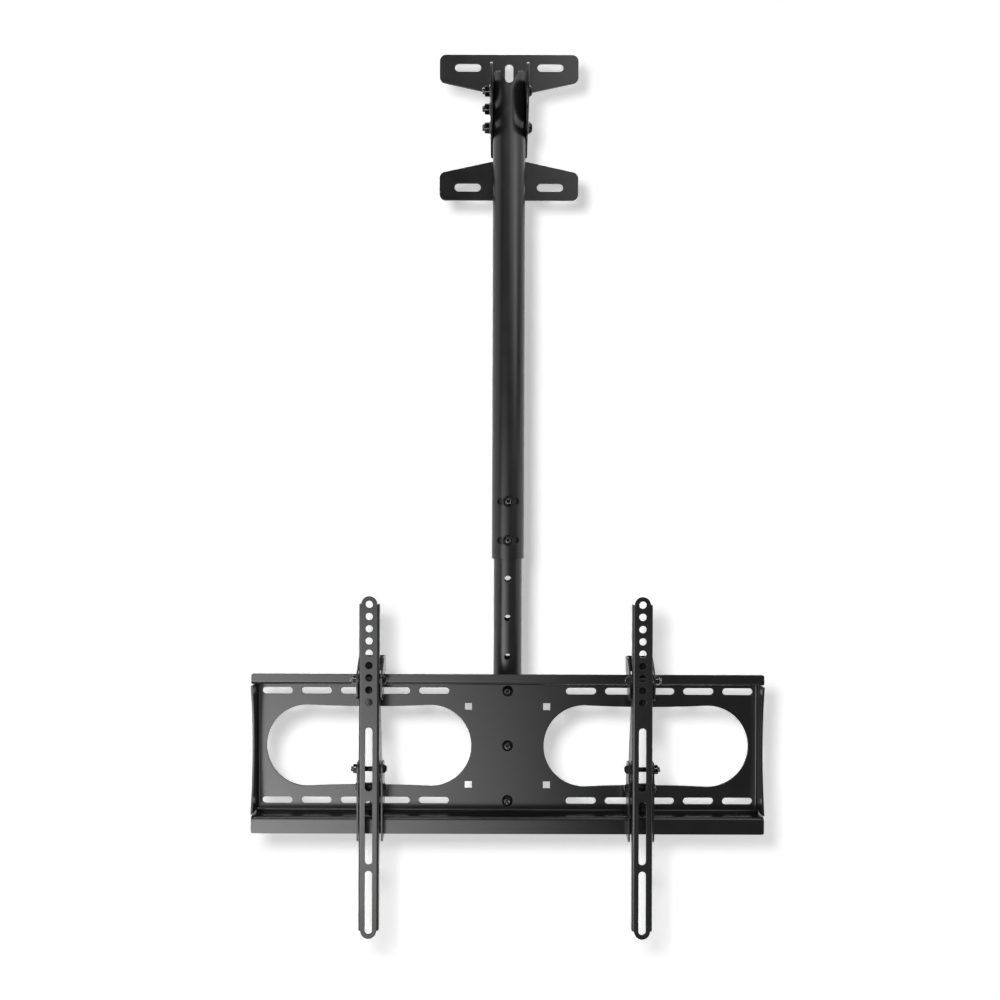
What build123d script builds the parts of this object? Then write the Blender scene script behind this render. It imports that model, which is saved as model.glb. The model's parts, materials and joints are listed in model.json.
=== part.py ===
from build123d import *
import os
from math import asin, atan2, degrees, hypot, sqrt

# Ceiling mount for a flat television, in millimetres.
# +Z is up, -Y faces the viewer, and the origin is the centre of the ceiling plate's back face.
# It stands as a pole hanging parallel to the ceiling plate, with the screen plate facing forward.

# Shared clearances
touch_gap = 0.1          # between flat faces that bear on each other
run_gap = 0.3            # between a bolt and a hole that turns on it
slide_gap = 0.5          # radial, between the two tubes
pass_gap = 0.5           # between the outer tube and anything it passes behind

# Heavy fasteners: pivot, tube and plate bolts
big_r = 4.0
big_head_r = 7.0
big_head_h = 4.4
big_key = 5.0
big_nut_af = 13.0
big_nut_h = 6.5
big_washer_r = 8.0
big_washer_t = 1.4
big_tail = 3.0           # thread left proud of the nut

# Light fasteners: arms and hooks
small_r = 3.0
small_head_r = 5.25
small_head_h = 4.4
small_key = 4.0
small_nut_af = 10.0
small_nut_h = 5.0
thin_nut_h = 2.2
small_washer_r = 6.0
small_tail = 2.6

# Ceiling plate, one folded sheet
ceiling_w = 185.0
ceiling_h = 194.0
ceiling_t = 3.0
wing_end_h = 36.0
wing_corner_r = 8.0
waist_half_h = 46.0      # where the wings' tapered edges reach the folds
fold_r = 2.0             # inner radius of every fold in the thick sheet
relief_r = 2.5           # round reliefs above the ears
relief_h = 5.5           # square reliefs below the ears
relief_in = 4.0          # how far those run in behind the tube
anchor_slot_l = 35.0
anchor_slot_w = 11.0
anchor_pitch_x = 110.0
anchor_pitch_z = 160.0
top_slot_l = 25.0
top_slot_z = 72.5

# Ears of the ceiling plate and the angle lock
pivot_standoff = 27.5    # pivot axis in front of the plate
pivot_z = 36.5
ear_reach = 62.0         # rim of the ears, about the pivot
ear_top = 11.5           # ear above the pivot axis
ear_corner_r = 8.0
ear_heel_r = 14.0
rim_r = 0.9              # round on the ears' rims
lock_r = 48.0            # lock bolt's circle, in both ears
clamp_r = 23.5           # clamp bolt's circle, in the left ear
clamp_grip = 5.0         # head of the clamp bolt, inside the tube
swing_deg = 90.0

# Outer tube
pole_od = 42.0
pole_wall = 2.2
pole_hang = 609.5        # pivot axis to the lower end
crown_rise = 21.0        # upper end above the pivot axis
crown_r = 12.0           # its corners, seen from the side
notch_w = 26.0           # cable notches in the upper end, front and back
notch_depth = 26.0
notch_r = 3.0
row_pitch = 50.0         # height holes
row_edge = 24.0          # lowest bolt above the outer tube's end
swivel_deg = 30.0

# Inner tube
drop_wall = 2.0
rows_hidden = 3          # holes above the bolts, for lowering
rows_bolted = 2
rows_shown = 3           # holes below the bolts, for raising
drop_head = 20.0         # tube above its first hole
cap_flange_t = 2.0
cap_depth = 8.0
cap_wall = 2.0

# Screen plate, one folded sheet
screen_w = 642.0
screen_flat_h = 170.0    # over the two rail webs
screen_t = 2.5
screen_below_row = 112.5 # plate centre below the last height hole
rail_depth = 26.0
top_lip = 11.0
bottom_lip = 18.5
lip_corner_r = 2.5
end_flange = 28.0        # at its ends
end_bow = 9.0            # hollow of its front edge
end_gap_top = 1.5        # between an end flange and the upper rail
end_gap_low = 3.0        # between it and the lower rail
window_h = 104.0
window_waist = 2.0       # drawn in at the middle of each long edge
window_in = 46.25        # its inner end from the plate's centre
window_out = 13.25       # its outer end from the plate's end
rail_slot_l = 38.5
rail_slot_w = 8.6
rail_slot_out = 27.0     # last slot from the plate's end
rail_slot_pitch = 50.0
rail_slots = 5
row_margin = 15.0        # rows of slots and plate bolts, inside the rail webs
square_hole = 9.0
square_half = 50.0
saddle_w = 24.0
saddle_h = 22.0

# Arms that carry the screen
arm_left_x = -170.3     # where the arms stand along the lips
arm_right_x = 165.2
arm_standoff = 50.0      # arm face in front of the plate face
arm_w = 25.0
arm_t = 2.0
arm_fold_r = 0.7
arm_flange = 9.0         # flange depth at the ends
arm_reach = 400.0        # first hole to the end of the last slot
arm_tip_r = 9.8
arm_hole_d = 9.0
arm_hole_pitch = 15.0
arm_holes = 9
arm_slot_lead = 31.0     # last hole to the first slot's end
arm_bridge_upper = 12.0  # metal between first and second slot
arm_bridge_lower = 7.5
arm_first_hole = 186.0   # above the screen plate's centre
gusset_rim = 9.0         # flange round the ends of the tilt slots
gusset_up = 105.0        # where the flange starts to deepen, above the guide bolt
gusset_down = 35.0       # where it is shallow again, below the spacer bolt
tilt_out_deg = 6.0       # foot of the arm forward
tilt_in_deg = 3.0        # foot of the arm back

# Upper hook, one folded sheet for each arm
cheek_gap = 1.5          # arm to cheek, taken up by a washer
cheek_t = 2.0
hook_bolt_drop = 4.0     # tilt axis below the lip's top
hook_bolt_back = 7.0     # behind the arm's face
hook_front = 1.0         # cheek's front edge behind the arm's face
hook_rise = 21.5         # above the lip
hook_tail = 28.0         # below the lip's top
hook_rear = 15.0         # web's back face behind the lip's back
hook_web_h = 20.0        # web behind the lip, from the top
strap_h = 14.0           # strap in front of the lip, joining the cheeks below
lip_play = 0.8           # lip in the hook's slot, each side
seat_gap = 0.2           # hook above the lip's top edge

# Lower bracket, a pair of plates for each arm
guide_bolt_z = -19.5     # from the plate's centre
guide_bolt_back = 14.5   # behind the arm's face
spacer_bolt_z = -43.0
spacer_bolt_back = 15.5
spacer_r = 6.0
bracket_head = 9.0       # plate above the guide bolt
bracket_front = 8.0      # plate's front edge behind the arm's face
catch_play = 1.2         # lip in the plate's catch, each side
catch_finger = 5.0
catch_up = 9.0           # finger's height behind the lip
catch_floor = 0.6        # catch below the lip
catch_tip = 5.0
web_play = 3.0           # plate above the rail web

# Places worked out from the sizes above
pivot_y = -(ceiling_t + pivot_standoff)
pole_r = pole_od / 2
ear_in = pole_r + run_gap
ear_out = ear_in + ceiling_t
ear_root_z = relief_h - waist_half_h
pole_end_z = pivot_z - pole_hang
row_low_z = pole_end_z + row_edge
row_top_z = row_low_z + row_pitch * (rows_bolted - 1)
drop_r = pole_r - pole_wall - slide_gap
row_first_z = row_top_z + row_pitch * rows_hidden
row_last_z = row_low_z - row_pitch * rows_shown
screen_z = row_last_z - screen_below_row
screen_back_y = pivot_y - pole_r - pass_gap
screen_face_y = screen_back_y - screen_t
lip_face_y = screen_face_y - rail_depth
lip_back_y = lip_face_y + screen_t
lip_top_z = screen_z + screen_flat_h / 2 + top_lip
lip_low_z = screen_z - screen_flat_h / 2 - bottom_lip
web_low_z = screen_z - screen_flat_h / 2 + screen_t
end_top_z = screen_z + screen_flat_h / 2 - screen_t - end_gap_top
end_low_z = web_low_z + end_gap_low
drop_top_z = row_first_z + drop_head
drop_end_z = screen_z - screen_flat_h / 2
bolt_row = screen_flat_h / 2 - row_margin
window_l = screen_w / 2 - window_in - window_out
window_x = window_in + window_l / 2
rail_slot_first = screen_w / 2 - rail_slot_out - (rail_slots - 1) * rail_slot_pitch
arm_face_y = screen_face_y - arm_standoff
arm_top_hole_z = screen_z + arm_first_hole
arm_low_z = arm_top_hole_z - arm_reach
arm_slots_top_z = arm_top_hole_z - (arm_holes - 1) * arm_hole_pitch - arm_slot_lead
arm_slots_l = arm_slots_top_z - arm_low_z + arm_hole_d / 2
arm_slot_l = (arm_slots_l - arm_bridge_upper - arm_bridge_lower) / 3
cheek_in = arm_w / 2 + cheek_gap
cheek_out = cheek_in + cheek_t
hook_y = arm_face_y + hook_bolt_back
hook_z = lip_top_z - hook_bolt_drop
guide_y = arm_face_y + guide_bolt_back
guide_z = screen_z + guide_bolt_z
spacer_y = arm_face_y + spacer_bolt_back
spacer_z = screen_z + spacer_bolt_z


# Drawing planes and plain solids
def side_plane(x):
    return Plane(origin=(x, 0, 0), x_dir=(0, 1, 0), z_dir=(1, 0, 0))


def face_plane(y):
    return Plane(origin=(0, y, 0), x_dir=(1, 0, 0), z_dir=(0, -1, 0))


def across(sketch, x_low, x_high):
    return extrude(side_plane(x_low) * sketch, x_high - x_low, dir=(1, 0, 0))


def forward(sketch, y_back, y_front):
    return extrude(face_plane(y_back) * sketch, y_back - y_front, dir=(0, -1, 0))


def upright(sketch, z_low, z_high):
    return extrude(Plane.XY.offset(z_low) * sketch, z_high - z_low, dir=(0, 0, 1))


def outline(*corners):
    shape = Polygon(*[(a, b) for a, b, radius in corners], align=None)
    for a, b, radius in corners:
        if radius:
            corner = shape.vertices().sort_by_distance((a, b, 0))[0]
            shape = fillet(corner, radius)
    return shape


def box_outline(a_low, a_high, b_low, b_high):
    return Polygon((a_low, b_low), (a_high, b_low), (a_high, b_high), (a_low, b_high), align=None)


def channel(half_w, sheet, inner_r, y_web, y_open):
    # Folded U seen from above: its web at y_web, its flanges running to y_open
    toward = 1 if y_open > y_web else -1
    outer_r = inner_r + sheet
    y_in = y_web + toward * sheet
    outer = outline((-half_w, y_web, outer_r), (half_w, y_web, outer_r), (half_w, y_open, 0),
                    (-half_w, y_open, 0))
    half_in = half_w - sheet
    inner = outline((-half_in, y_in, inner_r), (half_in, y_in, inner_r), (half_in, y_open, 0),
                    (-half_in, y_open, 0))
    return outer - inner


# Fasteners stand on the XY plane, with the shank below it
def button_bolt(shank_r, length, head_r, head_h, key):
    crown_r = head_r * 0.45
    shoulder = (head_r * 0.88, head_h * 0.55)
    rim = Polyline((0, -length), (shank_r, -length), (shank_r, 0), (head_r, 0))
    dome = ThreePointArc((head_r, 0), shoulder, (crown_r, head_h))
    close = Polyline((crown_r, head_h), (0, head_h), (0, -length))
    body = revolve(Plane.XZ * make_face(rim + dome + close), Axis.Z)
    socket_depth = head_h * 0.6
    socket = RegularPolygon(key / 2, 6, major_radius=False)
    return body - extrude(Plane.XY.offset(head_h - socket_depth) * socket, head_h)


def hex_nut(bore_r, flats, height):
    corner_r = flats / sqrt(3)
    bevel = corner_r - flats / 2
    prism = extrude(RegularPolygon(flats / 2, 6, major_radius=False), height)
    blank = extrude(Circle(corner_r), height)
    blank = chamfer(blank.edges().group_by(Axis.Z)[-1], bevel)
    return (prism & blank) - extrude(Circle(bore_r), height)


def ring(outer_r, bore_r, height):
    return extrude(Circle(outer_r) - Circle(bore_r), height)


def at(point, direction, shape):
    return Plane(origin=point, z_dir=direction) * shape


def big_bolt(grip, tail=big_tail):
    return button_bolt(big_r, grip + big_nut_h + tail, big_head_r, big_head_h, big_key)


def big_nut():
    return hex_nut(big_r + touch_gap, big_nut_af, big_nut_h)


def big_washer():
    return ring(big_washer_r, big_r + touch_gap, big_washer_t)


def small_bolt(length):
    return button_bolt(small_r, length, small_head_r, small_head_h, small_key)


def small_nut(height):
    return hex_nut(small_r + touch_gap, small_nut_af, height)


# Ceiling plate: wings with anchor slots, and a waist folded into two ears
def arc_slot(radius):
    sweep = CenterArc((pivot_y, pivot_z), radius, 180, swing_deg)
    return SlotArc(sweep, 2 * (big_r + run_gap))


def ear_outline():
    rim = Pos(pivot_y, pivot_z) * Circle(ear_reach)
    front_y = pivot_y - ear_reach
    top_z = pivot_z + ear_top
    rim -= box_outline(front_y, pivot_y + ear_reach, top_z, pivot_z + ear_reach)
    rim -= box_outline(pivot_y, pivot_y + ear_reach, pivot_z - ear_reach, top_z)
    corner = rim.vertices().sort_by_distance((front_y, top_z, 0))[0]
    rim = fillet(corner, ear_corner_r)
    low_z = pivot_z - ear_reach
    heel = outline((pivot_y - 1, low_z, 0), (pivot_y + ear_heel_r, low_z, ear_heel_r),
                   (-ceiling_t, ear_root_z, 0), (-ceiling_t, -waist_half_h, 0), (0, -waist_half_h, 0),
                   (0, top_z, 0), (pivot_y - 1, top_z, 0))
    return rim + heel


def make_ceiling_plate():
    half_w = ceiling_w / 2
    half_h = ceiling_h / 2
    end_z = half_h - wing_end_h
    wings = Sketch()
    for side in (1, -1):
        wings += outline((-half_w, side * half_h, wing_corner_r), (half_w, side * half_h, wing_corner_r),
                         (half_w, side * end_z, wing_corner_r), (ear_out, side * waist_half_h, 0),
                         (-ear_out, side * waist_half_h, 0), (-half_w, side * end_z, wing_corner_r))
        for x in (-anchor_pitch_x / 2, anchor_pitch_x / 2):
            wings -= Pos(x, side * anchor_pitch_z / 2) * SlotOverall(anchor_slot_l, anchor_slot_w)
    wings -= Pos(0, top_slot_z) * SlotOverall(top_slot_l, anchor_slot_w, rotation=90)
    section = channel(ear_out, ceiling_t, fold_r, 0, pivot_y - ear_reach)
    fold = upright(section, -waist_half_h, pivot_z + ear_top)
    fold &= across(ear_outline(), -ear_out, ear_out)
    rims = fold.edges().filter_by(GeomType.CIRCLE).filter_by(lambda rim: abs(rim.radius - ear_reach) < touch_gap)
    fold = fillet(rims, rim_r)
    reliefs = Sketch()
    for side in (-1, 1):
        wings -= Pos(side * ear_out, waist_half_h) * Circle(relief_r)
        reliefs += box_outline(side * (ear_in - relief_in), side * ear_out, -waist_half_h, ear_root_z)
    fold -= forward(reliefs, 0, pivot_y)
    plate = forward(wings, 0, -ceiling_t) + fold
    holes = Pos(pivot_y, pivot_z) * Circle(big_r + run_gap) + arc_slot(lock_r)
    plate -= across(holes, -ear_out, ear_out)
    return plate - across(arc_slot(clamp_r), -ear_out, 0)


# Bolts across the ears: heads on the right, nuts on the left
def make_ear_bolt(z):
    seat = ear_out + big_washer_t
    return at((seat, pivot_y, z), (1, 0, 0), big_bolt(2 * seat))


def make_ear_nut(z):
    return at((-ear_out - big_washer_t, pivot_y, z), (-1, 0, 0), big_nut())


def make_ear_washers(z):
    right = at((ear_out, pivot_y, z), (1, 0, 0), big_washer())
    return [right, at((-ear_out, pivot_y, z), (-1, 0, 0), big_washer())]


def make_clamp_bolt(z):
    seat = -pole_r + pole_wall + clamp_grip
    grip = seat + ear_out + big_washer_t
    return at((seat, pivot_y, z), (1, 0, 0), big_bolt(grip))


# Outer tube: rounded and notched above the pivot, slotted for the swivel
def make_outer_tube():
    top_z = pivot_z + crown_rise
    body = Pos(0, pivot_y) * (Circle(pole_r) - Circle(pole_r - pole_wall))
    tube = upright(body, pole_end_z, top_z)
    stay = outline((pivot_y - pole_r, top_z, crown_r), (pivot_y + pole_r, top_z, crown_r),
                   (pivot_y + pole_r, pole_end_z, 0), (pivot_y - pole_r, pole_end_z, 0))
    tube &= across(stay, -pole_r, pole_r)
    notch = outline((-notch_w / 2, top_z, 0), (0, top_z - notch_depth, notch_r), (notch_w / 2, top_z, 0))
    tube -= forward(notch, 0, pivot_y - pole_od)
    for z in (pivot_z, pivot_z - lock_r):
        tube -= across(Pos(pivot_y, z) * Circle(big_r + run_gap), -pole_od, pole_od)
    tube -= across(Pos(pivot_y, pivot_z - clamp_r) * Circle(big_r + run_gap), -pole_od, 0)
    slot_w = 2 * (big_r + run_gap)
    half_turn = swivel_deg + degrees(asin((big_r + run_gap) / pole_r))
    for row in range(rows_bolted):
        z = row_top_z - row * row_pitch
        tube -= swivel_slot(z, slot_w, half_turn)
    return tube


def swivel_slot(z, slot_w, half_turn):
    # A slot round the tube, front and back, with rounded ends
    end_turn = half_turn - degrees(asin(slot_w / 2 / pole_r))
    reach = 2 * pole_r
    centre = Pos(0, pivot_y, z)
    cut = Part()
    for facing in (0, 180):
        sweep = CenterArc((0, 0), reach, facing - 90 - end_turn, 2 * end_turn)
        wedge = make_face(sweep + Polyline(sweep @ 1, (0, 0), sweep @ 0))
        cut += centre * upright(wedge, -slot_w / 2, slot_w / 2)
        for turn in (-end_turn, end_turn):
            drill = Rot(90, 0, 0) * extrude(Circle(slot_w / 2), reach)
            cut += centre * Rot(0, 0, facing + turn) * drill
    return cut


# Height bolts pass through both tubes, front to back
def height_rows():
    return [row_top_z - row * row_pitch for row in range(rows_bolted)]


def make_height_bolts():
    front = pivot_y - pole_r - touch_gap
    grip = 2 * (pole_r + touch_gap)
    return [at((0, front, z), (0, -1, 0), big_bolt(grip, big_r / 4)) for z in height_rows()]


def make_height_nuts():
    back = pivot_y + pole_r + touch_gap
    return [at((0, back, z), (0, 1, 0), big_nut()) for z in height_rows()]


# Inner tube with its rows of holes, and the cap in its lower end
def plate_bolt_rows():
    return [screen_z + row for row in (bolt_row, 0, -bolt_row)]


def make_lower_tube():
    body = Pos(0, pivot_y) * (Circle(drop_r) - Circle(drop_r - drop_wall))
    tube = upright(body, drop_end_z, drop_top_z)
    count = rows_hidden + rows_bolted + rows_shown
    rows = [row_first_z - row * row_pitch for row in range(count)] + plate_bolt_rows()
    for z in rows:
        tube -= forward(Pos(0, z) * Circle(big_r + run_gap), 0, pivot_y - pole_od)
    return tube


def make_tube_cap():
    plug_r = drop_r - drop_wall - touch_gap
    flange = Pos(0, pivot_y, drop_end_z - cap_flange_t) * extrude(Circle(drop_r), cap_flange_t)
    flange = fillet(flange.edges().group_by(Axis.Z)[0], cap_flange_t / 2)
    skirt = Pos(0, pivot_y, drop_end_z) * ring(plug_r, plug_r - cap_wall, cap_depth)
    return flange + skirt


# Screen plate: rails above and below, bowed flanges at the ends
def rail_section():
    outer_r = fold_r + screen_t
    top = screen_z + screen_flat_h / 2
    low = screen_z - screen_flat_h / 2
    skin = outline((screen_back_y, low, outer_r), (lip_back_y, low, fold_r), (lip_back_y, lip_low_z, 0),
                   (lip_face_y, lip_low_z, 0), (lip_face_y, low + screen_t, outer_r),
                   (screen_face_y, low + screen_t, fold_r), (screen_face_y, top - screen_t, fold_r),
                   (lip_face_y, top - screen_t, outer_r), (lip_face_y, lip_top_z, 0),
                   (lip_back_y, lip_top_z, 0), (lip_back_y, top, fold_r), (screen_back_y, top, outer_r))
    return skin


def end_flange_outline():
    top = end_top_z
    low = end_low_z
    front = screen_face_y - end_flange
    bow = ThreePointArc((front, low), (front + end_bow, screen_z), (front, top))
    return make_face(bow + Polyline((front, top), (screen_back_y, top), (screen_back_y, low), (front, low)))


def window_outline():
    # Round ends, with the long edges drawn in at the middle
    end_r = window_h / 2
    end_x = window_l / 2 - end_r
    mid_z = end_r - window_waist
    upper = ThreePointArc((-end_x, end_r), (0, mid_z), (end_x, end_r))
    right = ThreePointArc((end_x, end_r), (end_x + end_r, 0), (end_x, -end_r))
    lower = ThreePointArc((end_x, -end_r), (0, -mid_z), (-end_x, -end_r))
    left = ThreePointArc((-end_x, -end_r), (-end_x - end_r, 0), (-end_x, end_r))
    return make_face(upper + right + lower + left)


def make_screen_plate():
    half_w = screen_w / 2
    plate = across(rail_section(), -half_w, half_w)
    lip_ends = plate.edges().filter_by(Axis.Y).filter_by_position(Axis.Y, lip_face_y - 1, lip_back_y + 1)
    plate = fillet(lip_ends.group_by(Axis.Z)[0] + lip_ends.group_by(Axis.Z)[-1], lip_corner_r)
    corner = box_outline(-half_w, half_w, end_low_z, end_top_z)
    corner -= box_outline(-half_w + end_flange / 2, half_w - end_flange / 2, end_low_z, end_top_z)
    plate -= forward(corner, 0, lip_face_y - end_flange)
    section = channel(half_w, screen_t, fold_r, screen_back_y, screen_face_y - end_flange)
    fold = upright(section, end_low_z, end_top_z)
    plate += fold & across(end_flange_outline(), -half_w, half_w)
    cuts = Sketch()
    for side in (-1, 1):
        cuts += Pos(side * window_x, screen_z) * window_outline()
        for row in (-bolt_row, bolt_row):
            for step in range(rail_slots):
                x = side * (rail_slot_first + step * rail_slot_pitch)
                cuts += Pos(x, screen_z + row) * SlotOverall(rail_slot_l, rail_slot_w)
        for z in (-square_half, square_half):
            cuts += Pos(side * square_half, screen_z + z) * Rectangle(square_hole, square_hole)
    for z in plate_bolt_rows():
        cuts += Pos(0, z) * Circle(big_r + run_gap)
    return plate - forward(cuts, 0, lip_face_y)


def make_plate_bolts():
    front = screen_face_y - touch_gap
    grip = (pivot_y + drop_r + touch_gap) - front
    return [at((0, front, z), (0, -1, 0), big_bolt(grip, big_r / 4)) for z in plate_bolt_rows()]


def make_plate_nuts():
    back = pivot_y + drop_r + touch_gap
    return [at((0, back, z), (0, 1, 0), big_nut()) for z in plate_bolt_rows()]


def make_saddles():
    seat_r = drop_r + touch_gap
    reach = sqrt(seat_r ** 2 - (saddle_w / 2) ** 2)
    block = box_outline(-saddle_w / 2, saddle_w / 2, screen_back_y + touch_gap, pivot_y - reach)
    block -= Pos(0, pivot_y) * Circle(seat_r)
    saddles = []
    for z in plate_bolt_rows():
        saddle = upright(block, z - saddle_h / 2, z + saddle_h / 2)
        saddles.append(saddle - forward(Pos(0, z) * Circle(big_r + run_gap), 0, screen_face_y))
    return saddles


# Arms: a channel with tongues, deepened into a gusset with tilt slots about the hook bolt
def tilt_arc(y, z):
    reach = hypot(y - hook_y, z - hook_z)
    turn = degrees(atan2(z - hook_z, y - hook_y))
    return CenterArc((hook_y, hook_z), reach, turn - tilt_in_deg, tilt_in_deg + tilt_out_deg)


def tilt_slots():
    width = 2 * (small_r + run_gap)
    return SlotArc(tilt_arc(guide_y, guide_z), width) + SlotArc(tilt_arc(spacer_y, spacer_z), width)


def gusset_outline():
    base = arm_face_y + arm_flange
    rim = Line((base, spacer_z - gusset_down), (base, guide_z + gusset_up)).edges()
    for y, z in ((guide_y, guide_z), (spacer_y, spacer_z)):
        end = tilt_arc(y, z) @ 1
        rim += (Pos(end.X, end.Y) * Circle(gusset_rim)).edges()
    return make_hull(rim)


def make_arm(x):
    deep = channel(arm_w / 2, arm_t, arm_fold_r, arm_face_y, screen_face_y)
    side = box_outline(arm_face_y, arm_face_y + arm_flange, arm_low_z, arm_top_hole_z) + gusset_outline()
    arm = upright(deep, arm_low_z, arm_top_hole_z) & across(side, -arm_w / 2, arm_w / 2)
    tongue = SlotOverall(arm_reach + 2 * arm_tip_r, 2 * arm_tip_r, rotation=90)
    tongue = Pos(0, (arm_low_z + arm_top_hole_z) / 2) * tongue
    arm += forward(tongue, arm_face_y + arm_t, arm_face_y)
    cuts = Sketch()
    for step in range(arm_holes):
        cuts += Pos(0, arm_top_hole_z - step * arm_hole_pitch) * Circle(arm_hole_d / 2)
    centre = arm_low_z - arm_hole_d / 2 + arm_slot_l / 2
    for bridge in (arm_bridge_lower, arm_bridge_upper, 0):
        cuts += Pos(0, centre) * SlotOverall(arm_slot_l, arm_hole_d, rotation=90)
        centre += arm_slot_l + bridge
    arm -= forward(cuts, arm_face_y + arm_t, arm_face_y)
    turning = Pos(hook_y, hook_z) * Circle(small_r + run_gap) + tilt_slots()
    arm -= across(turning, -arm_w, arm_w)
    return Pos(x, 0, 0) * arm


# Upper hook: two cheeks hung on the upper lip, with a web behind it and a strap before it
def hook_outline():
    front = arm_face_y + hook_front
    rear = lip_back_y + hook_rear
    top = lip_top_z + hook_rise
    tail = lip_top_z - hook_tail
    slot_front = lip_face_y - lip_play
    slot_back = lip_back_y + lip_play
    web_low = top - hook_web_h
    finger_low = screen_z + screen_flat_h / 2 + web_play / 2
    finger_back = slot_back + catch_finger
    cheek = outline((slot_front - cheek_t, top, 4), (rear, top, 2), (rear, web_low, 1.5),
                    (finger_back, web_low, 3), (finger_back, finger_low, 2), (slot_back, finger_low, 1),
                    (slot_back, lip_top_z + seat_gap, 0.5), (slot_front, lip_top_z + seat_gap, 0.5),
                    (slot_front, tail, 2), (front + 2, tail, 5), (front, lip_top_z - top_lip - 3, 4),
                    (front, lip_top_z + 1, 6))
    return cheek


def make_hook(x):
    top = lip_top_z + hook_rise
    tail = lip_top_z - hook_tail
    rear = lip_back_y + hook_rear
    strap_y = lip_face_y - lip_play
    web = channel(cheek_out, cheek_t, arm_fold_r, rear, arm_face_y)
    strap = channel(cheek_out, cheek_t, arm_fold_r, strap_y, arm_face_y)
    sheet = upright(web, tail, top) + upright(strap, tail, tail + strap_h)
    hook = sheet & across(hook_outline(), -cheek_out, cheek_out)
    hook -= across(Pos(hook_y, hook_z) * Circle(small_r + touch_gap), -cheek_out, cheek_out)
    return Pos(x, 0, 0) * hook


# Lower bracket: two plates on the guide and spacer bolts that catch the lower lip
def bracket_outline():
    front = arm_face_y + bracket_front
    floor = web_low_z + web_play
    slot_front = lip_face_y - catch_play
    slot_back = lip_back_y + catch_play
    rear = slot_back + catch_finger
    finger_low = lip_low_z - catch_floor
    finger_top = lip_low_z + catch_up
    tip = finger_low - catch_tip
    head = guide_z + bracket_head
    return outline((front, head, 6), (rear - catch_finger, head, 8), (rear, spacer_z, 8), (rear, floor, 3),
                   (slot_front, floor, 1.5), (slot_front, finger_low, 0.5), (slot_back, finger_low, 0.5),
                   (slot_back, finger_top, 1), (rear, finger_top, 1.5), (rear, finger_low - 1, 2),
                   (front + 4, tip, 2), (front, tip + 4, 2))


def make_bracket_plates(x):
    cheek = across(bracket_outline(), cheek_in, cheek_out)
    for y, z in ((guide_y, guide_z), (spacer_y, spacer_z)):
        cheek -= across(Pos(y, z) * Circle(small_r + touch_gap), cheek_in, cheek_out)
    return [Pos(x, 0, 0) * cheek, Pos(x - cheek_in - cheek_out, 0, 0) * cheek]


# Bolts across an arm: heads toward the pole, nuts toward the ends of the screen plate
def make_cross_bolt(x, inward, y, z, nut_h, tail):
    seat = cheek_out + touch_gap
    return at((x + inward * seat, y, z), (inward, 0, 0), small_bolt(2 * seat + nut_h + tail))


def make_cross_nut(x, inward, y, z, nut_h):
    seat = cheek_out + touch_gap
    return at((x - inward * seat, y, z), (-inward, 0, 0), small_nut(nut_h))


def make_cross_washers(x, y, z):
    thick = cheek_gap - 2 * touch_gap
    washer = ring(small_washer_r, small_r + touch_gap, thick)
    right = at((x + arm_w / 2 + touch_gap, y, z), (1, 0, 0), washer)
    return [right, at((x - arm_w / 2 - touch_gap, y, z), (-1, 0, 0), washer)]


def make_spacer(x):
    length = arm_w - 2 * arm_t - 2 * touch_gap
    return at((x - length / 2, spacer_y, spacer_z), (1, 0, 0), ring(spacer_r, small_r + touch_gap, length))


# Every piece in its place
lock_z = pivot_z - lock_r
clamp_z = pivot_z - clamp_r
pieces = {
    "ceiling_plate": make_ceiling_plate(),
    "pivot_bolt": make_ear_bolt(pivot_z),
    "pivot_nut": make_ear_nut(pivot_z),
    "pivot_washers": make_ear_washers(pivot_z),
    "outer_tube": make_outer_tube(),
    "lock_bolt": make_ear_bolt(lock_z),
    "lock_nut": make_ear_nut(lock_z),
    "lock_washers": make_ear_washers(lock_z),
    "clamp_bolt": make_clamp_bolt(clamp_z),
    "clamp_nut": make_ear_nut(clamp_z),
    "clamp_washer": make_ear_washers(clamp_z)[1],
    "height_bolts": make_height_bolts(),
    "height_nuts": make_height_nuts(),
    "lower_tube": make_lower_tube(),
    "lower_tube_cap": make_tube_cap(),
    "screen_plate": make_screen_plate(),
    "plate_bolts": make_plate_bolts(),
    "plate_nuts": make_plate_nuts(),
    "plate_saddles": make_saddles(),
}
for side, x, inward in (("left", arm_left_x, 1), ("right", arm_right_x, -1)):
    pieces[side + "_arm"] = make_arm(x)
    pieces[side + "_upper_hook"] = make_hook(x)
    pieces[side + "_bracket_plates"] = make_bracket_plates(x)
    pieces[side + "_spacer"] = make_spacer(x)
    fasteners = (
        ("tilt", hook_y, hook_z, small_nut_h, small_tail),
        ("guide", guide_y, guide_z, small_nut_h, small_tail),
        ("spacer", spacer_y, spacer_z, thin_nut_h, touch_gap),
    )
    for use, y, z, nut_h, tail in fasteners:
        pieces[f"{side}_{use}_bolt"] = make_cross_bolt(x, inward, y, z, nut_h, tail)
        pieces[f"{side}_{use}_nut"] = make_cross_nut(x, inward, y, z, nut_h)
        pieces[f"{side}_{use}_washers"] = make_cross_washers(x, y, z)

os.makedirs("parts", exist_ok=True)
for node, shape in pieces.items():
    solid = Compound(children=shape) if isinstance(shape, list) else shape
    export_step(solid, f"parts/{node}.step")
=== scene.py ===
import json
import math

import bmesh
import bpy
from mathutils import Matrix, Vector


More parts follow.
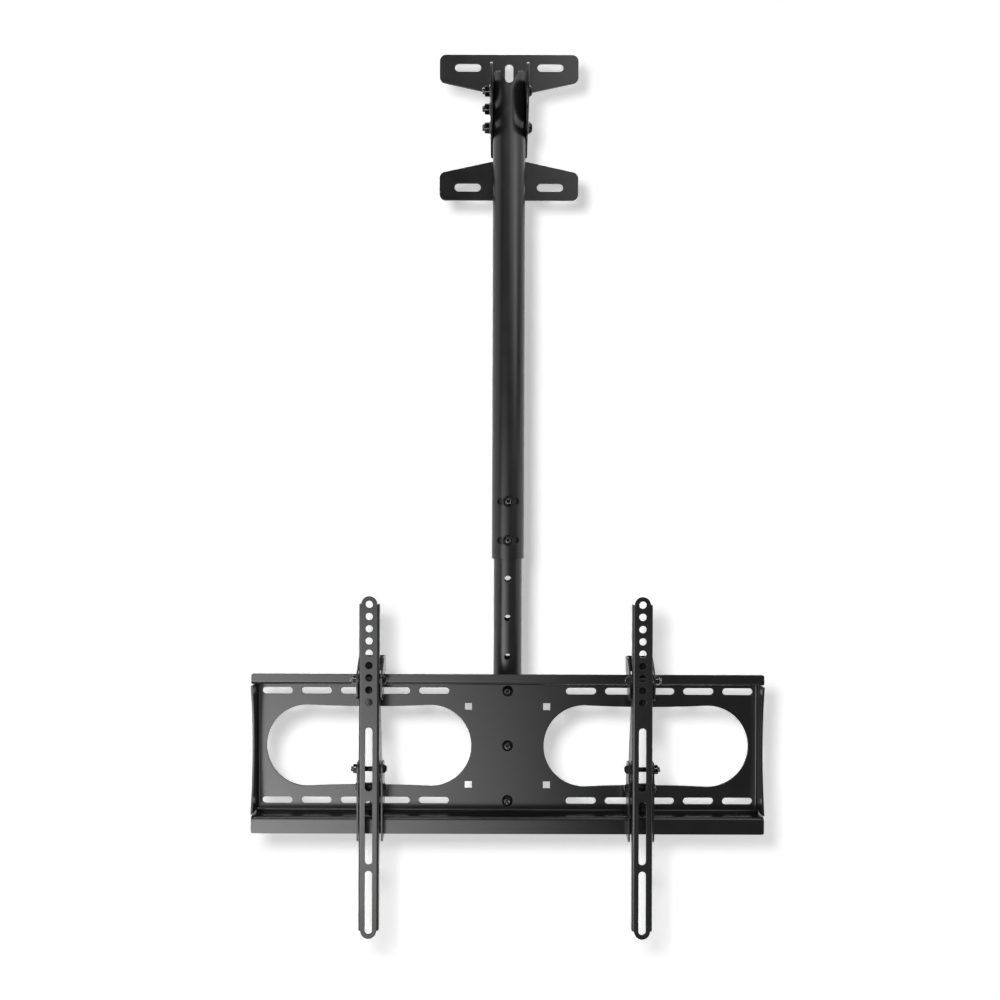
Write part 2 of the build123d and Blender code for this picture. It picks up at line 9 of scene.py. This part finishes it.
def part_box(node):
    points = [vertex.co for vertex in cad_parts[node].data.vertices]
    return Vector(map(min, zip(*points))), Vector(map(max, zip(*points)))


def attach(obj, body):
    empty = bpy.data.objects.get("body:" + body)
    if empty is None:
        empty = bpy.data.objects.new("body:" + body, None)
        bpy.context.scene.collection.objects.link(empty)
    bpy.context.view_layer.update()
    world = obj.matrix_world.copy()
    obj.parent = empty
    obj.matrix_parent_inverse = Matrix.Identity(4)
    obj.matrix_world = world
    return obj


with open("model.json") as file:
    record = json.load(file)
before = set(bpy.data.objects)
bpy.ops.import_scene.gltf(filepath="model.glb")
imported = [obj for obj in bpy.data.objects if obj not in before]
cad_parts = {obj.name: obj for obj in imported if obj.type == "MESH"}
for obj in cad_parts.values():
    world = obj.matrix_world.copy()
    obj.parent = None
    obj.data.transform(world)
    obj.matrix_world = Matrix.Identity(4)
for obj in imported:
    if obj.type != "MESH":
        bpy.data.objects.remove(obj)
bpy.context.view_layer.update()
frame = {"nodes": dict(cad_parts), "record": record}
nodes = frame["nodes"]
print("frame loaded:", len(nodes), "nodes")


# node-building helpers for the paints
def newMaterial(name):
    material = bpy.data.materials.new(name)
    material.use_nodes = True
    tree = material.node_tree
    shader = tree.nodes["Principled BSDF"]
    return material, tree, shader


def addNode(tree, kind, **values):
    node = tree.nodes.new(kind)
    for key, value in values.items():
        if hasattr(node, key):
            setattr(node, key, value)
        else:
            node.inputs[key.replace("_", " ")].default_value = value
    return node


def noiseAt(tree, coords, scale, detail):
    noise = addNode(tree, "ShaderNodeTexNoise", Scale=scale, Detail=detail)
    tree.links.new(coords.outputs["Object"], noise.inputs["Vector"])
    return noise


def remap(tree, source, reach, result=(0.0, 1.0)):
    band = addNode(tree, "ShaderNodeMapRange", From_Min=reach[0], From_Max=reach[1],
                   To_Min=result[0], To_Max=result[1])
    tree.links.new(source, band.inputs["Value"])
    return band.outputs["Result"]


def largest(tree, first, second):
    pick = addNode(tree, "ShaderNodeMath", operation="MAXIMUM")
    tree.links.new(first, pick.inputs[0])
    tree.links.new(second, pick.inputs[1])
    return pick.outputs[0]


def product(tree, first, second):
    times = addNode(tree, "ShaderNodeMath", operation="MULTIPLY")
    tree.links.new(first, times.inputs[0])
    tree.links.new(second, times.inputs[1])
    return times.outputs[0]


def whereSeen(tree):  # 1 for rays that see the background, straight, mirrored or through glass
    rays = addNode(tree, "ShaderNodeLightPath")
    direct = largest(tree, rays.outputs["Is Camera Ray"], rays.outputs["Is Glossy Ray"])
    return largest(tree, direct, rays.outputs["Is Transmission Ray"])


noiseBand = (0.3, 0.7)  # where most of a noise's values lie
bevelSamples = 4


# satin powder coat: tiny orange peel over a near-black base
def powderCoat(name, look):
    material, tree, shader = newMaterial(name)
    coords = addNode(tree, "ShaderNodeTexCoord")
    peel = noiseAt(tree, coords, look["peelScale"], look["peelDetail"])
    cloud = noiseAt(tree, coords, look["cloudScale"], look["cloudDetail"])
    tint = addNode(tree, "ShaderNodeMix", data_type="RGBA")
    tree.links.new(cloud.outputs["Fac"], tint.inputs["Factor"])
    tint.inputs["A"].default_value = (*look["dark"], 1)
    tint.inputs["B"].default_value = (*look["light"], 1)
    tree.links.new(tint.outputs["Result"], shader.inputs["Base Color"])
    gloss = remap(tree, cloud.outputs["Fac"], noiseBand, look["roughness"])
    tree.links.new(gloss, shader.inputs["Roughness"])
    bump = addNode(tree, "ShaderNodeBump", Strength=look["peelStrength"],
                   Distance=look["peelHeight"])
    tree.links.new(peel.outputs["Fac"], bump.inputs["Height"])
    soften = addNode(tree, "ShaderNodeBevel", samples=bevelSamples, Radius=look["edgeRadius"])
    tree.links.new(soften.outputs["Normal"], bump.inputs["Normal"])
    tree.links.new(bump.outputs["Normal"], shader.inputs["Normal"])
    shader.inputs["Specular IOR Level"].default_value = look["specular"]
    return material


coatLook = {
    "dark": (0.0045, 0.0045, 0.0047),
    "light": (0.0065, 0.0065, 0.0067),
    "roughness": (0.24, 0.29),
    "peelScale": 900.0,
    "peelDetail": 3.0,
    "cloudScale": 35.0,
    "cloudDetail": 2.0,
    "peelStrength": 0.06,
    "peelHeight": 0.0004,
    "edgeRadius": 0.0010,
    "specular": 0.5,
}
plateLook = dict(coatLook, roughness=(0.19, 0.24))
tubeLook = dict(coatLook, roughness=(0.28, 0.33), peelStrength=0.05)
hookLook = dict(coatLook, roughness=(0.20, 0.26), edgeRadius=0.0007)


# black oxide on bolts and nuts: smoother, with edges painted as bare metallic steel to make
# glints (a painted highlight laid on as edge wear)
def blackOxide(name, look):
    material, tree, shader = newMaterial(name)
    coords = addNode(tree, "ShaderNodeTexCoord")
    grain = noiseAt(tree, coords, look["grainScale"], look["grainDetail"])
    gloss = remap(tree, grain.outputs["Fac"], noiseBand, look["roughness"])
    tree.links.new(gloss, shader.inputs["Roughness"])
    bump = addNode(tree, "ShaderNodeBump", Strength=look["grainStrength"],
                   Distance=look["grainHeight"])
    tree.links.new(grain.outputs["Fac"], bump.inputs["Height"])
    soften = addNode(tree, "ShaderNodeBevel", samples=bevelSamples, Radius=look["edgeRadius"])
    tree.links.new(soften.outputs["Normal"], bump.inputs["Normal"])
    tree.links.new(bump.outputs["Normal"], shader.inputs["Normal"])
    flat = addNode(tree, "ShaderNodeNewGeometry")
    turn = addNode(tree, "ShaderNodeVectorMath", operation="DOT_PRODUCT")
    tree.links.new(soften.outputs["Normal"], turn.inputs[0])
    tree.links.new(flat.outputs["Normal"], turn.inputs[1])
    # edges whose normal turns past the threshold get metallic steel colour: a painted glint, laid
    # on as edge wear
    glintWear = remap(tree, turn.outputs["Value"], look["glintWearTurn"])
    tint = addNode(tree, "ShaderNodeMix", data_type="RGBA")
    tree.links.new(glintWear, tint.inputs["Factor"])
    tint.inputs["A"].default_value = (*look["color"], 1)
    tint.inputs["B"].default_value = (*look["glintSteel"], 1)
    tree.links.new(tint.outputs["Result"], shader.inputs["Base Color"])
    tree.links.new(glintWear, shader.inputs["Metallic"])
    shader.inputs["Specular IOR Level"].default_value = look["specular"]
    return material


boltLook = {
    "color": (0.002, 0.002, 0.0021),
    "glintSteel": (0.55, 0.55, 0.56),
    "glintWearTurn": (0.995, 0.90),  # how far the normal turns before the painted steel glint shows
    "specular": 0.15,
    "roughness": (0.06, 0.11),
    "grainScale": 600.0,
    "grainDetail": 4.0,
    "grainStrength": 0.06,
    "grainHeight": 0.0003,
    "edgeRadius": 0.0009,
}
nutLook = dict(boltLook, roughness=(0.07, 0.12))
washerLook = dict(boltLook, roughness=(0.12, 0.18), color=(0.003, 0.003, 0.0031))


# moulded end cap: grainy plastic
def mouldedPlastic(name, look):
    material, tree, shader = newMaterial(name)
    coords = addNode(tree, "ShaderNodeTexCoord")
    grain = noiseAt(tree, coords, look["grainScale"], look["grainDetail"])
    bump = addNode(tree, "ShaderNodeBump", Strength=look["grainStrength"],
                   Distance=look["grainHeight"])
    tree.links.new(grain.outputs["Fac"], bump.inputs["Height"])
    tree.links.new(bump.outputs["Normal"], shader.inputs["Normal"])
    shader.inputs["Base Color"].default_value = (*look["color"], 1)
    shader.inputs["Roughness"].default_value = look["roughness"]
    return material


capLook = {
    "color": (0.012, 0.012, 0.012),
    "roughness": 0.55,
    "grainScale": 1400.0,
    "grainDetail": 2.0,
    "grainStrength": 0.3,
    "grainHeight": 0.0003,
}


finishes = {
    "plate_paint": powderCoat("platePowderCoat", plateLook),
    "tube_paint": powderCoat("tubePowderCoat", tubeLook),
    "arm_paint": powderCoat("armPowderCoat", coatLook),
    "hook_paint": powderCoat("hookPowderCoat", hookLook),
    "bolt_black": blackOxide("boltBlackOxide", boltLook),
    "nut_black": blackOxide("nutBlackOxide", nutLook),
    "washer_black": blackOxide("washerBlackOxide", washerLook),
    "spacer_black": blackOxide("spacerBlackOxide", washerLook),
    "cap_plastic": mouldedPlastic("capPlastic", capLook),
}
for part in frame["record"]["subparts"]:
    mesh = nodes[part["node"]].data
    mesh.materials.clear()
    mesh.materials.append(finishes[part["material_slot"]])
print("finishes on every node")

# thread ridges on the bolt ends that stand proud of their nuts
threadLook = {"rise": 0.00030, "root": 0.00015, "flank": 0.32, "steps": 20}
threads = {
    "pivotThread": {
        "body": "ceiling_bracket", "bolts": ("pivot_bolt",),
        "side": -1, "size": 0.0040, "pitch": 0.00125, "turns": 2.0,
    },
    "poleThreads": {
        "body": "pole", "bolts": ("lock_bolt", "clamp_bolt"),
        "side": -1, "size": 0.0040, "pitch": 0.00125, "turns": 2.0,
    },
    "leftThreads": {
        "body": "left_hook", "bolts": ("left_tilt_bolt", "left_guide_bolt"),
        "side": -1, "size": 0.0030, "pitch": 0.0010, "turns": 2.0,
    },
    "rightThreads": {
        "body": "right_hook", "bolts": ("right_tilt_bolt", "right_guide_bolt"),
        "side": 1, "size": 0.0030, "pitch": 0.0010, "turns": 2.0,
    },
}


def addRidge(bm, end, look):
    half = look["pitch"] * threadLook["flank"]
    start = end - Vector((look["side"] * half, 0, 0))
    root = look["size"] - threadLook["root"]
    crest = look["size"] + threadLook["rise"]
    corners = ((-half, root), (0, crest), (half, root))
    profile = [bm.verts.new(start + Vector((shift, 0, reach))) for shift, reach in corners]
    rim = [bm.edges.new((profile[i], profile[(i + 1) % 3])) for i in range(3)]
    count = round(threadLook["steps"] * look["turns"])
    step = -look["side"] * look["pitch"] / threadLook["steps"]
    swept = bmesh.ops.spin(bm, geom=profile + rim, cent=end, axis=(1, 0, 0), dvec=(step, 0, 0),
                           angle=2 * math.pi * look["turns"], steps=count)
    last = [item for item in swept["geom_last"] if isinstance(item, bmesh.types.BMVert)]
    bm.faces.new(profile)
    bm.faces.new(last)


def makeThreads(name, look):
    bm = bmesh.new()
    for bolt in look["bolts"]:
        low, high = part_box(bolt)
        middle = (low + high) / 2
        end = Vector((high.x if look["side"] > 0 else low.x, middle.y, middle.z))
        addRidge(bm, end, look)
    bmesh.ops.recalc_face_normals(bm, faces=bm.faces)
    mesh = bpy.data.meshes.new(name)
    bm.to_mesh(mesh)
    bm.free()
    mesh.materials.append(finishes["bolt_black"])
    ridge = bpy.data.objects.new(name, mesh)
    bpy.context.scene.collection.objects.link(ridge)
    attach(ridge, look["body"])


for name, look in threads.items():
    makeThreads(name, look)
print("threads cut")

# the photograph's view: straight at the mount, a touch of lean
cameraPlace = {
    "location": (-0.0105, -1.2345, -0.4972),
    "lens": 33.2136,
    "sensor": 36.0,
    "lean": -0.0032,
    "clip": (0.01, 50.0),
}
cameraData = bpy.data.cameras.new("photoCamera")
cameraData.lens = cameraPlace["lens"]
cameraData.sensor_width = cameraPlace["sensor"]
cameraData.clip_start, cameraData.clip_end = cameraPlace["clip"]
camera = bpy.data.objects.new("photoCamera", cameraData)
camera.location = cameraPlace["location"]
camera.rotation_euler = (math.pi / 2, cameraPlace["lean"], 0)
bpy.context.scene.collection.objects.link(camera)
bpy.context.scene.camera = camera

# a white sheet hangs behind the mount and shows from its lit side only
floorLook = {
    "depth": 0.40,
    "size": 9.0,
    "middle": -0.5,
    "white": 0.9,
    "lift": (0.32, 0.87),  # grows outward and evens out the lamp's fall-off
    "liftReach": (0.24, 1.95),
    "liftMiddle": (-0.0685, 0.40, -0.439),
}


def makeFloor():
    bm = bmesh.new()
    bmesh.ops.create_grid(bm, x_segments=1, y_segments=1, size=floorLook["size"] / 2)
    upright = Matrix.Rotation(math.pi / 2, 3, "X")
    bmesh.ops.rotate(bm, verts=bm.verts, cent=(0, 0, 0), matrix=upright)
    bmesh.ops.translate(bm, verts=bm.verts, vec=(0, floorLook["depth"], floorLook["middle"]))
    mesh = bpy.data.meshes.new("whiteFloor")
    bm.to_mesh(mesh)
    bm.free()
    floor = bpy.data.objects.new("whiteFloor", mesh)
    bpy.context.scene.collection.objects.link(floor)
    material, tree, shader = newMaterial("whitePaper")
    tree.nodes.remove(shader)
    output = tree.nodes["Material Output"]
    paper = addNode(tree, "ShaderNodeBsdfDiffuse")
    paper.inputs["Color"].default_value = (floorLook["white"],) * 3 + (1,)
    glow = addNode(tree, "ShaderNodeEmission")
    coords = addNode(tree, "ShaderNodeTexCoord")
    away = addNode(tree, "ShaderNodeVectorMath", operation="DISTANCE")
    away.inputs[1].default_value = floorLook["liftMiddle"]
    tree.links.new(coords.outputs["Object"], away.inputs[0])
    lift = remap(tree, away.outputs["Value"], floorLook["liftReach"], floorLook["lift"])
    tree.links.new(product(tree, whereSeen(tree), lift), glow.inputs["Strength"])
    lit = addNode(tree, "ShaderNodeAddShader")
    tree.links.new(paper.outputs[0], lit.inputs[0])
    tree.links.new(glow.outputs[0], lit.inputs[1])
    clear = addNode(tree, "ShaderNodeBsdfTransparent")
    side = addNode(tree, "ShaderNodeNewGeometry")
    mix = addNode(tree, "ShaderNodeMixShader")
    tree.links.new(side.outputs["Backfacing"], mix.inputs[0])
    tree.links.new(lit.outputs[0], mix.inputs[1])
    tree.links.new(clear.outputs[0], mix.inputs[2])
    tree.links.new(mix.outputs[0], output.inputs["Surface"])
    mesh.materials.append(material)


makeFloor()

# the key throws the shadows; it never shows as a reflection
keyBox = {
    "place": (-0.0685, -1.2345, -0.439),
    "aim": (-0.0685, 0, -0.439),
    "size": 0.075,
    "watts": 15.8,
}
keyData = bpy.data.lights.new("keyBox", "AREA")
keyData.shape = "DISK"
keyData.size = keyBox["size"]
keyData.energy = keyBox["watts"]
key = bpy.data.objects.new("keyBox", keyData)
key.location = keyBox["place"]
keyToward = Vector(keyBox["aim"]) - Vector(keyBox["place"])
key.rotation_euler = keyToward.to_track_quat("-Z", "Z").to_euler()
key.visible_glossy = False
bpy.context.scene.collection.objects.link(key)

# cards that only the paint mirrors; fade (on the axis) and rise (on height) go dark to bright
cards = {
    "leftCard": {
        "plan": ((-1.7, -1.55), (0.36, -1.55)), "height": (-1.78, -0.1),
        "axis": "X", "fade": (0.30, -1.0), "rise": (-0.2, -1.5), "strength": 9.0,
    },
    "rightCard": {
        "plan": ((-0.2, -1.45), (1.0, -1.45)), "height": (-0.2, 1.5),
        "axis": "X", "fade": (-0.1, 0.4), "rise": (-0.16, 0.7), "strength": 2.6,
    },
    "topCard": {
        "plan": ((-1.4, -2.2), (1.0, -2.2)), "height": (1.5, 2.2),
        "axis": "Z", "fade": (1.5, 1.7), "rise": (1.5, 1.6), "strength": 14.0,
    },
    "backCard": {
        "plan": ((-0.5, 0.14), (0.5, 0.14)), "height": (0.25, 1.3),
        "axis": "Z", "fade": (0.25, 0.35), "rise": (0.25, 0.35), "strength": 7.0,
    },
    "sideCard": {
        "plan": ((2.3, -1.45), (2.3, 0.3)), "height": (-0.2, 1.5),
        "axis": "Y", "fade": (1.0, -1.4), "rise": (0.1, 0.9), "strength": 2.2,
    },
    "poleCard": {
        "plan": ((1.0, -1.45), (2.3, -1.45)), "height": (-0.2, 1.5),
        "axis": "X", "fade": (0.7, 1.3), "rise": (-0.2, 0.15), "strength": 3.5,
    },
    "frontCard": {  # even all over: the dark end of the studio
        "plan": ((-6.0, -2.6), (6.0, -2.6)), "height": (-6.0, 5.0),
        "axis": "X", "fade": (-9.0, -8.0), "rise": (-9.0, -8.0), "strength": 0.2,
    },
}


def makeCard(name, card):
    bm = bmesh.new()
    corners = [(*card["plan"][i], card["height"][k]) for i, k in ((0, 0), (1, 0), (1, 1), (0, 1))]
    bm.faces.new([bm.verts.new(corner) for corner in corners])
    mesh = bpy.data.meshes.new(name)
    bm.to_mesh(mesh)
    bm.free()
    sheet = bpy.data.objects.new(name, mesh)
    bpy.context.scene.collection.objects.link(sheet)
    material, tree, shader = newMaterial(name)
    tree.nodes.remove(shader)
    coords = addNode(tree, "ShaderNodeTexCoord")
    split = addNode(tree, "ShaderNodeSeparateXYZ")
    tree.links.new(coords.outputs["Object"], split.inputs[0])
    acrossFade = remap(tree, split.outputs[card["axis"]], card["fade"])
    upFade = remap(tree, split.outputs["Z"], card["rise"])
    level = addNode(tree, "ShaderNodeMath", operation="MULTIPLY")
    level.inputs[1].default_value = card["strength"]
    tree.links.new(product(tree, acrossFade, upFade), level.inputs[0])
    glow = addNode(tree, "ShaderNodeEmission")
    tree.links.new(level.outputs[0], glow.inputs["Strength"])
    tree.links.new(glow.outputs[0], tree.nodes["Material Output"].inputs["Surface"])
    mesh.materials.append(material)
    sheet.visible_camera = False
    sheet.visible_diffuse = False
    sheet.visible_transmission = False
    sheet.visible_shadow = False


for name, card in cards.items():
    makeCard(name, card)

# room: white where it is seen or mirrored, dim as a light
roomLook = {"dim": 0.2, "white": 1.0}
world = bpy.data.worlds.new("studioRoom")
bpy.context.scene.world = world
world.use_nodes = True
roomTree = world.node_tree
room = roomTree.nodes["Background"]
roomMix = addNode(roomTree, "ShaderNodeMix", data_type="FLOAT")
roomTree.links.new(whereSeen(roomTree), roomMix.inputs["Factor"])
roomMix.inputs["A"].default_value = roomLook["dim"]
roomMix.inputs["B"].default_value = roomLook["white"]
roomTree.links.new(roomMix.outputs["Result"], room.inputs["Strength"])
room.inputs["Color"].default_value = (1, 1, 1, 1)
bpy.context.scene.view_settings.view_transform = "Standard"
print("camera, floor and lights set")
